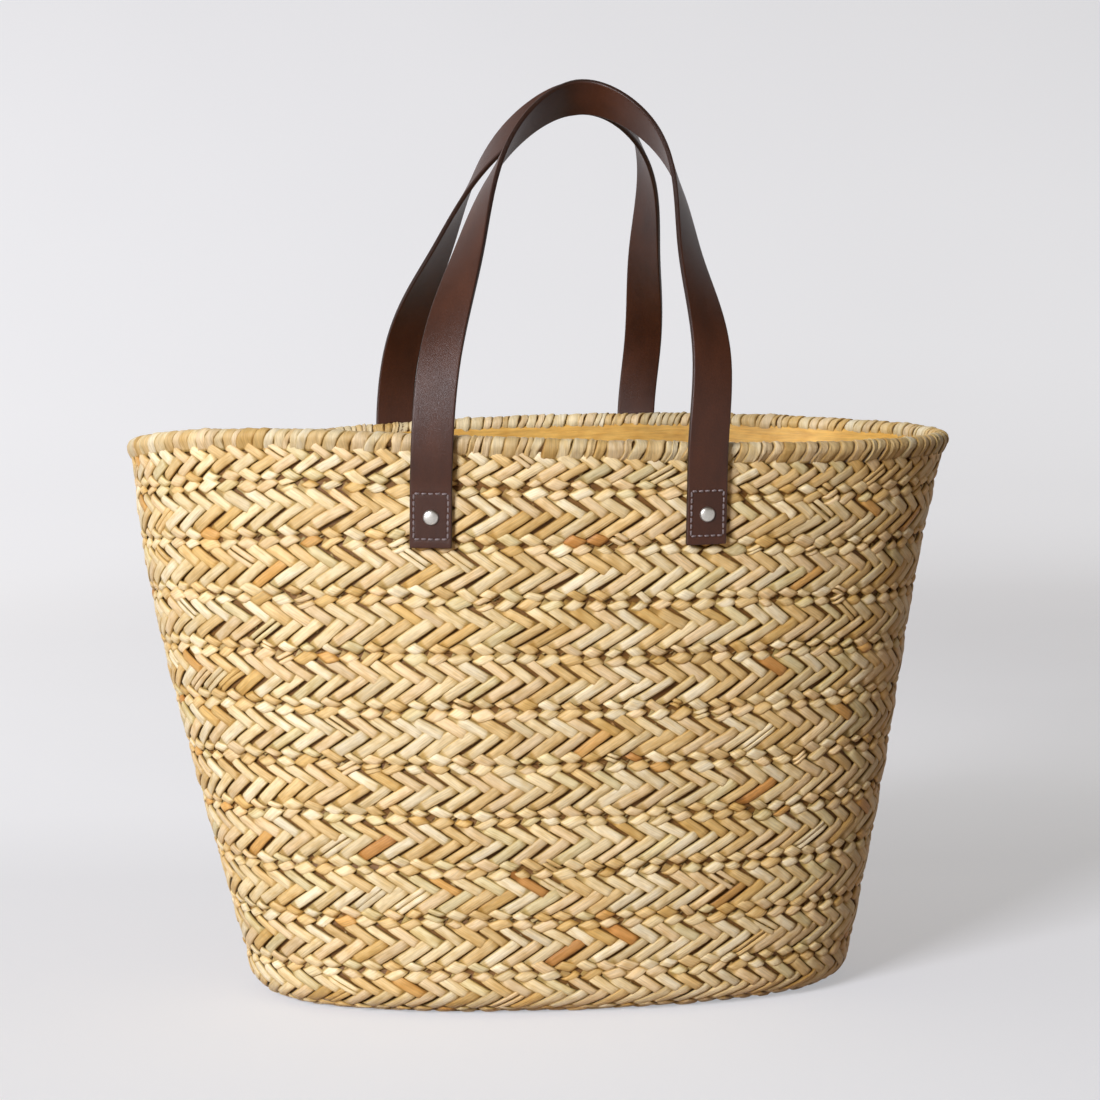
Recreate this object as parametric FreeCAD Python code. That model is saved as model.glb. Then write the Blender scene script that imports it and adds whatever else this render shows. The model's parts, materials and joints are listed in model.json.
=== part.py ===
"""Woven market basket: coiled straw braid, a wrapped rim and two riveted leather handles.

Lengths are millimetres. X runs along the width, Y from the front (-Y) to the back, and Z up from
the surface that the basket stands on. The origin is under the middle of the rim.
"""

import FreeCAD, Part

import math
import os

from FreeCAD import Vector

# Overall sizes
rim_width = 500.0  # across the rim roll
rim_depth = 272.0  # across the rim roll
rim_height = 338.0  # centre of the rim roll above the floor
base_width = 363.0  # the wall's outer face, carried straight down to the floor
base_depth = 182.0  # the same, front to back
base_offset = 6.0  # the base sits this far to the right of the rim
wall_bow = 4.0  # outward bow of the wall at half height
wall_sway = 5.0  # the wall leans this far to the left, two thirds of the way up
oval_power = 2.25  # exponent of the oval outlines: 2 is an ellipse
heel_radius = 22.0  # outer radius between the wall and the bottom
heel_sweep = 80.0  # degrees of that radius before the wall goes on straight

# Straw braid, laid in courses and sewn edge to edge
braid_thickness = 6.0
heel_height = 28.0  # top of the course that turns the corner
course_count = 10  # wall courses above it
top_reach = 7.0  # the top course, were it whole, would end this far above the middle of the roll
base_ring_count = 2
base_centre_depth = 25.0  # the bottom's middle piece, front to back
seam_depth = 0.8  # groove between two courses, on both faces
seam_height = 2.4  # height of each side of that groove
twine_depth = 0.7
twine_height = 1.0

# Rim
roll_radius = 5.2  # outside of the straw wrapping
wrap_thickness = 1.6
band_height = 15.0  # smooth strip inside the rim
band_thickness = 0.8
band_drop = 0.5  # its top edge below the underside of the roll

# Leather handles
strap_width = 24.0
strap_thickness = 3.0
strap_spacing = 158.0  # between the two ends of one handle
strap_drop = 55.0  # from the middle of the roll down to the end of the strap
hinge_drop = 20.0  # and down to where the free strap starts, above the stitching
hinge_standoff = 1.6  # from the strap's outer corner out to the folding axis
fold_gap = 0.3  # between the sewn end and the free strap
apex_rise = 204.0  # from the middle of the roll up to the strap at the top of the arch
apex_lean = 26.0  # the arch slumps this far to the right
lean_power = 1.3  # how late in its rise it does so
apex_tilt = 56.0  # degrees that the top of the arch leans inwards
twist_end = 0.97  # share of each leg over which the strap turns edge on
handle_gap = 0.8  # between the two handles where they lean together
# Points of half the arch: distance from its middle, distance out from the centre plane, and height
# above the roll. They are drawn for these reaches, and are stretched to the basket's own.
arch_points = [(78.0, 126.0, 51.0), (65.0, 84.0, 112.0), (36.0, 28.0, 186.0)]
arch_reaches = (79.0, 136.0, 204.0)

# Stitching, rivets and the leather patch behind each strap end
stitch_inset = 2.3  # from the strap's sides
stitch_inset_low = 3.0  # from the patch's lower edge
stitch_inset_high = 2.5  # from its upper edge
stitch_pitch = 3.4
stitch_length = 2.5
stitch_width = 0.9
stitch_rise = 0.5
rivet_drop = 0.5  # below the middle of the stitched box
rivet_head_radius = 4.5
rivet_head_rise = 2.0
rivet_post_radius = 1.6
rivet_cap_radius = 4.0
rivet_cap_rise = 2.2
rivet_seat_depth = 1.2  # the post's length inside its cap
patch_inset = 2.0  # its lower edge above the end of the strap
patch_thickness = 1.8

# Clearances
seat_gap = 0.3  # soft pieces that lie against a curved face
hole_clearance = 0.15
twine_clearance = 0.02
wrap_clearance = 0.1
band_clearance = 0.1  # between the band and the wall
band_gap = 0.8  # between the band and the patches below it

# Worked out from the sizes above
wall_top_width = rim_width - 2 * roll_radius + braid_thickness
wall_top_depth = rim_depth - 2 * roll_radius + braid_thickness
core_radius = roll_radius - wrap_thickness
roll_sides = 12
roll_step = 2 * math.pi / roll_sides
wall_top = rim_height - core_radius * math.cos(roll_step / 2)
course_pitch = (rim_height + top_reach - heel_height) / course_count
band_high = rim_height - roll_radius - band_drop
band_low = band_high - band_height
strap_end_low = rim_height - strap_drop
hinge_height = rim_height - hinge_drop
apex_height = rim_height + apex_rise
patch_low = strap_end_low + patch_inset
patch_high = band_low - band_gap
stitch_low = patch_low + stitch_inset_low
stitch_high = patch_high - stitch_inset_high
rivet_height = (stitch_low + stitch_high) / 2 - rivet_drop
SIDES = {"front": -1, "back": 1}
ENDS = {"left": -1, "right": 1}


# ------------------------------------------------------------------ ovals and rings
def wall_size(z, inset=0.0):
    """Half width and half depth of the wall at a height, this far in from its outer face."""
    u = z / wall_top
    bow = wall_bow * 4 * u * (1 - u)
    width = base_width + (wall_top_width - base_width) * u
    depth = base_depth + (wall_top_depth - base_depth) * u
    return width / 2 + bow - inset, depth / 2 + bow - inset


def centre_x(z):
    """Middle of the wall at a height: it starts at the base's offset and sways to the left."""
    u = min(z / wall_top, 1)
    return base_offset * (1 - u) - wall_sway * math.sin(math.pi * u * u)


def wall_level(z, inset=0.0):
    half_width, half_depth = wall_size(z, inset)
    return half_width, half_depth, z


def oval_y(x, half_width, half_depth):
    """Half depth of an oval at a distance x from its middle."""
    share = abs(x / half_width) ** oval_power
    return half_depth * (1 - share) ** (1 / oval_power)


def oval_edge(half_width, half_depth, z, steps=96):
    """Closed smooth oval edge at a height."""
    points = []
    for i in range(steps):
        angle = 2 * math.pi * i / steps
        c, s = math.cos(angle), math.sin(angle)
        x = math.copysign(abs(c) ** (2 / oval_power), c) * half_width
        y = math.copysign(abs(s) ** (2 / oval_power), s) * half_depth
        points.append(Vector(x + centre_x(z), y, z))
    curve = Part.BSplineCurve()
    curve.interpolate(Points=points, PeriodicFlag=True)
    return curve.toShape()


def close_solid(faces):
    shell = Part.makeShell(faces)
    shell.sewShape()
    solid = Part.makeSolid(shell)
    if solid.Volume < 0:
        solid.reverse()
    return solid


def ring(levels):
    """Solid ring whose cross-section has these corners: half width, half depth, height."""
    edges = [oval_edge(*level) for level in levels]
    pairs = zip(edges, edges[1:] + edges[:1])
    return close_solid([Part.makeRuledSurface(low, high) for low, high in pairs])


def tube_levels(radius, start=0.0, stop=2 * math.pi):
    """Corners of a round cross-section on the rim's centre line."""
    half_width = rim_width / 2 - roll_radius
    half_depth = rim_depth / 2 - roll_radius
    count = math.ceil((stop - start) / roll_step - 0.001)
    levels = []
    for i in range(count + 1):
        angle = start + (stop - start) * i / count
        out, up = radius * math.cos(angle), radius * math.sin(angle)
        levels.append((half_width + out, half_depth + out, rim_height + up))
    return levels


def bore(shape, holes):
    """Cut the holes that meet a shape."""
    for hole in holes:
        if hole.BoundBox.intersect(shape.BoundBox):
            shape = shape.cut(hole)
    return shape


# ------------------------------------------------------------------ straw
def heel_levels(radius, centre_height, steps=6):
    """Corners along the heel's arc, from the bottom out and up to the wall."""
    join_height = heel_radius * (1 - math.cos(math.radians(heel_sweep)))
    half_width, half_depth = wall_size(join_height)
    reach = heel_radius * math.sin(math.radians(heel_sweep))
    levels = []
    for i in range(steps + 1):
        angle = math.radians(heel_sweep * i / steps)
        out = radius * math.sin(angle) - reach
        up = centre_height - radius * math.cos(angle)
        levels.append((half_width + out, half_depth + out, up))
    return levels


def bottom_size():
    half_width, half_depth, _ = heel_levels(heel_radius, heel_radius)[0]
    return half_width, half_depth


def make_heel_course():
    outer = heel_levels(heel_radius, heel_radius)
    outer += [wall_level(heel_height - seam_height), wall_level(heel_height, seam_depth)]
    inner = heel_levels(heel_radius - braid_thickness, heel_radius)
    inner += [
        wall_level(heel_height - seam_height, braid_thickness),
        wall_level(heel_height, braid_thickness - seam_depth),
    ]
    return ring(outer + inner[::-1])


def make_course(index):
    """One wall course, counted up from 1 above the heel. The top one is cut off at the rim."""
    low = heel_height + (index - 1) * course_pitch
    high = low + course_pitch if index < course_count else wall_top
    top_cut = seam_depth if index < course_count else 0.0
    outer = [
        wall_level(low, seam_depth),
        wall_level(low + seam_height),
        wall_level(high - seam_height),
        wall_level(high, top_cut),
    ]
    inner = [
        wall_level(high, braid_thickness - top_cut),
        wall_level(high - seam_height, braid_thickness),
        wall_level(low + seam_height, braid_thickness),
        wall_level(low, braid_thickness - seam_depth),
    ]
    return ring(outer + inner)


def base_ring_width():
    _, half_depth = bottom_size()
    return (half_depth - base_centre_depth / 2) / base_ring_count


def make_base_ring(index):
    """One flat ring of the bottom, counted from 1 at the heel inwards."""
    half_width, half_depth = bottom_size()
    outer = (index - 1) * base_ring_width()
    inner = index * base_ring_width()
    return ring(
        [
            (half_width - outer, half_depth - outer, 0),
            (half_width - outer, half_depth - outer, braid_thickness),
            (half_width - inner, half_depth - inner, braid_thickness),
            (half_width - inner, half_depth - inner, 0),
        ]
    )


def make_base_centre():
    half_width, half_depth = bottom_size()
    inset = base_ring_count * base_ring_width()
    size = (half_width - inset, half_depth - inset)
    low, high = oval_edge(*size, 0), oval_edge(*size, braid_thickness)
    faces = [Part.makeRuledSurface(low, high), Part.Face(Part.Wire(low)), Part.Face(Part.Wire(high))]
    return close_solid(faces)


def make_sewing_twine(holes):
    """The twine that sews course to course, in the groove inside each wall seam."""
    rings = []
    middle = braid_thickness - seam_depth + twine_depth / 2 + twine_clearance
    for index in range(course_count):
        z = heel_height + index * course_pitch
        loop = ring(
            [
                wall_level(z, middle - twine_depth / 2),
                wall_level(z + twine_height / 2, middle),
                wall_level(z, middle + twine_depth / 2),
                wall_level(z - twine_height / 2, middle),
            ]
        )
        rings.append(bore(loop, holes))
    return Part.makeCompound(rings)


def make_rim_core():
    return ring(tube_levels(core_radius, roll_step / 2, roll_step / 2 + 2 * math.pi)[:-1])


def make_rim_wrap():
    """Straw wrapped over the core and down onto both faces of the wall's top edge."""
    grip = braid_thickness / 2 + wrap_clearance
    wall_lean = wall_size(wall_top)[0] - wall_size(rim_height - roll_radius)[0]
    inner_radius = (core_radius + wrap_clearance) / math.cos(roll_step / 2)

    def arc(radius):
        start = math.asin(grip / radius) - math.pi / 2
        stop = 3 * math.pi / 2 - math.asin((grip + wall_lean) / radius)
        return tube_levels(radius, start, stop)

    return ring(arc(roll_radius) + arc(inner_radius)[::-1])


def make_inner_rim_band():
    near = braid_thickness + band_clearance
    far = near + band_thickness
    return ring(
        [
            wall_level(band_low, near),
            wall_level(band_high, near),
            wall_level(band_high, far),
            wall_level(band_low, far),
        ]
    )


# ------------------------------------------------------------------ strap ends
class Seat:
    """Where one strap end lies on the wall: local X across the strap, Y up it, Z outwards."""

    def __init__(self, side, end):
        self.side = side
        self.x = end * strap_spacing / 2
        low, high = self.wall_point(0, strap_end_low), self.wall_point(0, hinge_height)
        self.up = (high - low).normalize()
        reach = self.wall_point(strap_width / 2, strap_end_low) - self.wall_point(
            -strap_width / 2, strap_end_low
        )
        self.out = (self.up.cross(reach) * side).normalize()
        self.across = self.up.cross(self.out)
        self.origin = low
        self.face = self.reach_out(0.0, max) + seat_gap
        self.outer_face = self.face + strap_thickness
        self.inner_face = self.reach_out(braid_thickness, min) - seat_gap
        self.patch_face = self.inner_face - patch_thickness

    def wall_point(self, offset, z, inset=0.0):
        """Point of the wall at the strap's middle, moved sideways by an offset."""
        x = self.x + offset
        y = oval_y(x - centre_x(z), *wall_size(z, inset))
        return Vector(x, self.side * y, z)

    def reach_out(self, inset, pick):
        """How far the wall's face stands out behind the strap, or in behind the patch."""
        heights = (strap_end_low, (strap_end_low + hinge_height) / 2, hinge_height)
        offsets = (-strap_width / 2, 0.0, strap_width / 2)
        points = [self.wall_point(offset, z, inset) for z in heights for offset in offsets]
        return pick((point - self.origin).dot(self.out) for point in points)

    def along(self, z, out=0.0):
        """Distance up the strap to the height z, at this distance out from the wall."""
        return (z - self.origin.z - out * self.out.z) / self.up.z

    def point(self, z, out):
        return self.origin + self.up * self.along(z, out) + self.out * out

    def place(self, shape):
        """Move a shape made in local coordinates to the wall."""
        x, y, z, o = self.across, self.up, self.out, self.origin
        rows = [x.x, y.x, z.x, o.x, x.y, y.y, z.y, o.y, x.z, y.z, z.z, o.z, 0, 0, 0, 1]
        moved = shape.copy()
        moved.Placement = FreeCAD.Placement(FreeCAD.Matrix(*rows)).multiply(shape.Placement)
        return moved


def prism(points, direction):
    wire = Part.makePolygon(points + points[:1])
    return Part.Face(wire).extrude(direction)


def slab(seat, low, high, inner, outer):
    """Flat piece of strap between two heights, cut level at its top."""
    half = strap_width / 2
    corners = [
        Vector(-half, seat.along(low, inner), inner),
        Vector(-half, seat.along(low, inner), outer),
        Vector(-half, seat.along(high, outer), outer),
        Vector(-half, seat.along(high, inner), inner),
    ]
    return prism(corners, Vector(strap_width, 0, 0))


def rivet_hole(seat, radius=rivet_post_radius + hole_clearance):
    start = seat.patch_face - 1.0
    length = seat.outer_face + 1.0 - start
    return Part.makeCylinder(radius, length, Vector(0, rivet_up(seat), start), Vector(0, 0, 1))


def rivet_up(seat):
    return seat.along(rivet_height, seat.outer_face)


def make_strap_end(seat):
    top = hinge_height - fold_gap / 2
    body = slab(seat, strap_end_low, top, seat.face, seat.outer_face)
    return seat.place(body.cut(rivet_hole(seat)))


def make_patch(seat):
    body = slab(seat, patch_low, patch_high, seat.patch_face, seat.inner_face)
    return seat.place(body.cut(rivet_hole(seat)))


def dome(radius, rise, height, up, outward):
    """Round cap with a flat underside at a height, bulging outwards (1) or inwards (-1)."""
    sphere_radius = (radius * radius + rise * rise) / (2 * rise)
    centre = height + outward * (rise - sphere_radius)
    ball = Part.makeSphere(sphere_radius, Vector(0, up, centre))
    side = 2 * sphere_radius
    corner = Vector(-side / 2, up - side / 2, height if outward > 0 else height - side)
    return ball.common(Part.makeBox(side, side, side, corner))


def make_rivet(seat):
    """Domed head outside, and its post through strap, braid and patch."""
    up = rivet_up(seat)
    head = dome(rivet_head_radius, rivet_head_rise, seat.outer_face, up, 1)
    low = seat.patch_face - rivet_seat_depth
    length = seat.outer_face - low + 0.2
    post = Part.makeCylinder(rivet_post_radius, length, Vector(0, up, low), Vector(0, 0, 1))
    return seat.place(head.fuse(post))


def make_rivet_cap(seat):
    up = rivet_up(seat)
    cap = dome(rivet_cap_radius, rivet_cap_rise, seat.patch_face, up, -1)
    low = seat.patch_face - rivet_seat_depth
    seat_hole = Part.makeCylinder(
        rivet_post_radius, 2 * rivet_seat_depth, Vector(0, up, low), Vector(0, 0, 1)
    )
    return seat.place(cap.cut(seat_hole))


def stitch(x, y, face, outward, upright):
    """One stitch lying on a face, with a rounded back."""
    half, top = stitch_width / 2, stitch_width / 4
    section = [(-half, 0), (-half, stitch_rise / 2), (-top, stitch_rise)]
    section += [(top, stitch_rise), (half, stitch_rise / 2), (half, 0)]
    long = stitch_length / 2
    if upright:
        points = [Vector(x + a, y - long, face + outward * b) for a, b in section]
        return prism(points, Vector(0, stitch_length, 0))
    points = [Vector(x - long, y + a, face + outward * b) for a, b in section]
    return prism(points, Vector(stitch_length, 0, 0))


def stitch_row(start, length):
    """Middles of the stitches along one side of the box of stitches."""
    count = int(length / stitch_pitch)
    step = length / count
    return [start + step * (i + 0.5) for i in range(count)]


def make_stitching(seat):
    """The box of stitches on the strap end, and the same on the patch behind it."""
    half = strap_width / 2 - stitch_inset
    low = seat.along(stitch_low, seat.outer_face)
    high = seat.along(stitch_high, seat.outer_face)
    stitches = []
    for face, outward in ((seat.outer_face, 1), (seat.patch_face, -1)):
        for y in stitch_row(low, high - low):
            for x in (-half, half):
                stitches.append(stitch(x, y, face, outward, True))
        for x in stitch_row(-half, 2 * half):
            for y in (low, high):
                stitches.append(stitch(x, y, face, outward, False))
    return seat.place(Part.makeCompound(stitches))


# ------------------------------------------------------------------ handles
def arch_line(side, seats):
    """Smooth centre line of a handle, from its left end to its right end."""
    start_height = hinge_height + fold_gap / 2
    middle = strap_thickness / 2
    rim_out = oval_y(strap_spacing / 2, rim_width / 2, rim_depth / 2) + seat_gap + middle
    tilt = math.radians(apex_tilt)
    apex_out = strap_width / 2 * math.cos(tilt) + middle * math.sin(tilt) + handle_gap / 2
    reaches = (strap_spacing / 2, rim_depth / 2, apex_rise)
    stretch = [reach / drawn for reach, drawn in zip(reaches, arch_reaches)]
    half = [(strap_spacing / 2, rim_out, 0.0)]
    half += [tuple(value * s for value, s in zip(point, stretch)) for point in arch_points]
    points = []
    for end in (-1, 1):
        leg = []
        for across, out, rise in half:
            lean = apex_lean * (rise / apex_rise) ** lean_power
            leg.append(Vector(end * across + lean, side * out, rim_height + rise))
        first = seats[end].point(start_height, (seats[end].face + seats[end].outer_face) / 2)
        leg.insert(0, first)
        points.append(leg)
    apex = Vector(apex_lean, side * apex_out, apex_height)
    curve = Part.BSplineCurve()
    curve.interpolate(points[0] + [apex] + points[1][::-1])
    return curve


def ease(share):
    """Smooth step from 0 to 1."""
    share = min(max(share, 0.0), 1.0)
    return share * share * (3 - 2 * share)


def strap_directions(curve, t, share, side, seat):
    """Directions across the strap's width and out of its face at one place on the arch."""
    tangent = Vector(*curve.tangent(t)[0])
    blend = ease(share / 0.3)
    level_out = Vector(seat.out.x, seat.out.y, 0).normalize() * (1 - blend) + Vector(0, side, 0) * blend
    if share == 0:
        width = Vector(level_out.y, -level_out.x, 0).normalize()
        return width * side, level_out
    tilt = math.radians(apex_tilt) * share**1.5
    facing = level_out.normalize() * math.cos(tilt) + Vector(0, 0, math.sin(tilt))
    facing = (facing - tangent * facing.dot(tangent)).normalize()
    outside = facing.cross(tangent) * -side
    twist = math.pi / 2 * ease(share / twist_end)
    normal = facing * math.cos(twist) + outside * math.sin(twist)
    return tangent.cross(normal) * -side, normal


def make_handle(side, seats, steps=64):
    """Strap that rises over the rim, turns edge on and arches to the other end."""
    curve = arch_line(side, seats)
    corners = {(w, n): [] for w in (-1, 1) for n in (-1, 1)}
    for i in range(steps + 1):
        t = curve.FirstParameter + (curve.LastParameter - curve.FirstParameter) * i / steps
        share = 2 * min(i, steps - i) / steps
        seat = seats[-1] if i < steps / 2 else seats[1]
        width, normal = strap_directions(curve, t, share, side, seat)
        if i == steps:
            width = width * -1
        for w, n in corners:
            offset = width * (w * strap_width / 2) + normal * (n * strap_thickness / 2)
            corners[w, n].append(curve.value(t) + offset)
    edges = {}
    for key, points in corners.items():
        line = Part.BSplineCurve()
        line.interpolate(points)
        edges[key] = line.toShape()
    order = [(-1, -1), (1, -1), (1, 1), (-1, 1)]
    faces = []
    for here, there in zip(order, order[1:] + order[:1]):
        faces.append(Part.makeRuledSurface(edges[here], edges[there]))
    for end in (0, -1):
        loop = [corners[key][end] for key in order]
        faces.append(Part.Face(Part.makePolygon(loop + loop[:1])))
    return close_solid(faces)


# ------------------------------------------------------------------ assembly
def print_fold_axis(side_name, side, seats):
    """Where the free strap folds: level with its start, just outside its outer corners."""
    half = strap_width / 2
    corners = []
    for seat in seats.values():
        start = seat.point(hinge_height, seat.outer_face)
        corners += [start + seat.across * half, start - seat.across * half]
    reach = max(side * corner.y for corner in corners) + hinge_standoff
    print(f"fold axis of handle_{side_name}: y {side * reach:.2f}, z {hinge_height:.2f}")


def build_parts():
    seats = {side: {end: Seat(side, end) for end in ENDS.values()} for side in SIDES.values()}
    holes = [seat.place(rivet_hole(seat)) for pair in seats.values() for seat in pair.values()]
    parts = {"base_braid_center": make_base_centre(), "heel_course": make_heel_course()}
    for index in range(1, base_ring_count + 1):
        parts[f"base_ring_{index}"] = make_base_ring(index)
    for index in range(1, course_count + 1):
        parts[f"course_{index:02d}"] = bore(make_course(index), holes)
    parts["sewing_twine"] = make_sewing_twine(holes)
    parts["rim_core"] = make_rim_core()
    parts["rim_wrap"] = make_rim_wrap()
    parts["inner_rim_band"] = make_inner_rim_band()
    for side_name, side in SIDES.items():
        for end_name, end in ENDS.items():
            seat = seats[side][end]
            name = f"{side_name}_{end_name}"
            parts[f"strap_end_{name}"] = make_strap_end(seat)
            parts[f"backing_patch_{name}"] = make_patch(seat)
            parts[f"stitching_{name}"] = make_stitching(seat)
            parts[f"rivet_{name}"] = make_rivet(seat)
            parts[f"rivet_cap_{name}"] = make_rivet_cap(seat)
        parts[f"handle_{side_name}"] = make_handle(side, seats[side])
        print_fold_axis(side_name, side, seats[side])
    return parts


def main():
    os.makedirs("parts", exist_ok=True)
    for name, shape in build_parts().items():
        shape.exportStep(f"parts/{name}.step")
        print(name, shape.isValid(), len(shape.Solids), round(shape.Volume))


main()
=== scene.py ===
"""Look of the woven market basket: braided straw, wrapped rim, leather straps, thread and rivets.

Sizes are millimetres until a mesh is made, and a mesh is in metres in the frame of the CAD. The
basket's front is -Y. A place on its skin is given by a share u of the way round, a distance v along
the skin from the floor up (negative under the bottom), and a distance off outwards from the outer
face.
"""

import json
import math

import bmesh
import bpy
import numpy as np
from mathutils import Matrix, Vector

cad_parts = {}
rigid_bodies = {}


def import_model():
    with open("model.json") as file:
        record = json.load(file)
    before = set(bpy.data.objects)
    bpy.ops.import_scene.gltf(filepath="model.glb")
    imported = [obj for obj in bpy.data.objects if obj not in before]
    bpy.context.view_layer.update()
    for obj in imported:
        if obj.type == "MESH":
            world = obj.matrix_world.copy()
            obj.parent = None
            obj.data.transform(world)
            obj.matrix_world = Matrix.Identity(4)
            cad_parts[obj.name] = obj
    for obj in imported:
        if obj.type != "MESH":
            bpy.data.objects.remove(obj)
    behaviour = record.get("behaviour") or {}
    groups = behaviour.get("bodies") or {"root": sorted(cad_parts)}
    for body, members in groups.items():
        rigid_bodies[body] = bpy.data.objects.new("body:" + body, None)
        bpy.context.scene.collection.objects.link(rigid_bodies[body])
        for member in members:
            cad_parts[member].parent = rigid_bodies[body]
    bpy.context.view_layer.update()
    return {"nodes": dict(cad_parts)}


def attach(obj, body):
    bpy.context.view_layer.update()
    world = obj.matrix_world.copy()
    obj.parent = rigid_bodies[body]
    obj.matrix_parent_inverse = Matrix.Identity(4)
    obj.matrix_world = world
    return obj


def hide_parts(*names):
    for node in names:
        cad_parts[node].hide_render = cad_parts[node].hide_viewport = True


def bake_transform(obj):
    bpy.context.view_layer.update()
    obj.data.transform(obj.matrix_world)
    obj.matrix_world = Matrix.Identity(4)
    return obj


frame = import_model()
rng = np.random.default_rng(20)
MM = 0.001
floor_gap = 0.05  # no strand goes lower than this

# ------ sizes, as in the CAD
rim_width, rim_depth, rim_height = 500.0, 272.0, 338.0
base_width, base_depth, base_offset = 363.0, 182.0, 6.0
wall_bow, wall_sway, oval_power = 4.0, 5.0, 2.25
heel_radius, heel_sweep = 22.0, math.radians(80)
braid_thickness, heel_height, course_count, top_reach = 6.0, 28.0, 10, 7.0
roll_radius, core_radius = 5.2, 3.6
strap_width, strap_thickness, strap_spacing = 24.0, 3.0, 158.0
strap_end_low, hinge_height, apex_height = 283.0, 318.0, 542.0
apex_lean, lean_power, apex_tilt, twist_end, handle_gap = 26.0, 1.3, math.radians(56), 0.97, 0.8
arch_points = [(78.0, 126.0, 389.0), (65.0, 84.0, 450.0), (36.0, 28.0, 524.0)]
seat_gap = 0.3
patch_thickness = 1.8
band_low, band_high, band_outer, band_inner, band_round = 316.9, 336.0, -6.35, -7.1, 325.0
stitch_half, stitch_middle, stitch_rise = strap_width / 2 - 2.3, 301.0, 13.0  # the stitched box
stitch_pitch = 3.4
rivet_height = 300.5

wall_top_width = rim_width - 2 * roll_radius + braid_thickness
wall_top_depth = rim_depth - 2 * roll_radius + braid_thickness
wall_top = rim_height - core_radius * math.cos(math.pi / 12)
course_pitch = (rim_height + top_reach - heel_height) / course_count
heel_join = heel_radius * (1 - math.cos(heel_sweep))
heel_start = heel_join - heel_radius * heel_sweep
round_limit = heel_start - 68  # nearer the bottom's middle, strands are spaced as they are here
no_cut = 1e9


# ------ the basket's skin
def smooth(t):
    t = np.clip(t, 0, 1)
    return t * t * (3 - 2 * t)


def wall_size(z):
    u = z / wall_top
    bow = wall_bow * 4 * u * (1 - u)
    width = base_width + (wall_top_width - base_width) * u
    depth = base_depth + (wall_top_depth - base_depth) * u
    return width / 2 + bow, depth / 2 + bow


def centre_x(z):
    u = np.clip(z / wall_top, 0, 1)
    return base_offset * (1 - u) - wall_sway * np.sin(math.pi * u * u)


def profile(v):
    """Half width, half depth and height at a distance along the skin."""
    z = np.maximum(v, heel_join)
    half_width, half_depth = wall_size(z)
    angle = np.clip((v - heel_start) / heel_radius, 0, heel_sweep)
    on_wall = v >= heel_join
    out = np.where(on_wall, 0, heel_radius * (np.sin(angle) - math.sin(heel_sweep)))
    out = out - np.maximum(heel_start - v, 0)
    height = np.where(on_wall, z, heel_radius * (1 - np.cos(angle)))
    return half_width + out, half_depth + out, height


def oval(angle, half_width, half_depth):
    c, s = np.cos(angle), np.sin(angle)
    x = np.sign(c) * np.abs(c) ** (2 / oval_power) * half_width
    y = np.sign(s) * np.abs(s) ** (2 / oval_power) * half_depth
    return x, y


def round_table(v):
    """Angles of evenly spaced places round the skin at this level, and the length of one round."""
    angles = np.linspace(-math.pi, math.pi, 4001)
    half_width, half_depth, _ = profile(np.array(v))
    x, y = oval(angles, half_width, half_depth)
    run = np.concatenate([[0], np.cumsum(np.hypot(np.diff(x), np.diff(y)))])
    return run / run[-1], angles, run[-1]


def rim_wave(angle):
    """How far the hand-made rim rises and dips on its way round."""
    wave = 5.0 * np.sin(2 * angle) - 2.9 * np.sin(angle) - 2.2 * np.cos(2 * angle) + 0.9 * np.cos(angle)
    return wave - 2.0 * np.sin(3 * angle) + 0.6 * np.cos(3 * angle) - 1.5


def drift(angle, v):
    """How far the braid's own lines wander up and down the wall."""
    rise = rim_wave(angle) * smooth((v - 90) / (rim_height - 90))
    wander = 0.9 * np.sin(3 * angle + v / 47) + 0.7 * np.sin(7 * angle + v / 31 + 1)
    wander = wander + 0.45 * np.sin(16 * angle - v / 19 + 2)
    return rise + wander * smooth((v - 30) / 50) * smooth((rim_height - v) / 30 + 0.3)


def skin(angle, v):
    shifted = v + drift(angle, v)
    half_width, half_depth, z = profile(shifted)
    x, y = oval(angle, half_width, half_depth)
    return np.stack([x + centre_x(z), y, z], -1), half_width, half_depth


def place(table, u, v, off):
    """Points at shares u of the way round, distances v along the skin and off outwards."""
    shares, angles, _ = table
    angle = np.interp(np.mod(u, 1), shares, angles)
    point, half_width, half_depth = skin(angle, v)
    ahead, _, _ = skin(angle, v + 0.5)
    up = ahead - point
    x, y = oval(angle, 1.0, 1.0)
    flat_x = np.sign(x) * np.abs(x) ** (oval_power - 1) / half_width
    flat_y = np.sign(y) * np.abs(y) ** (oval_power - 1) / half_depth
    length = np.hypot(flat_x, flat_y)
    flat_x, flat_y = flat_x / length, flat_y / length
    lean = up[..., 0] * flat_x + up[..., 1] * flat_y
    normal = np.stack([flat_x * up[..., 2], flat_y * up[..., 2], -lean], -1)
    normal /= np.linalg.norm(normal, axis=-1, keepdims=True)
    return point + normal * np.asarray(off)[..., None]


# ------ meshes
def add_object(name, data):
    obj = bpy.data.objects.new(name, data)
    bpy.context.scene.collection.objects.link(obj)
    return obj


def stacked(*rows):
    return np.stack(np.broadcast_arrays(*rows), -1)


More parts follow.
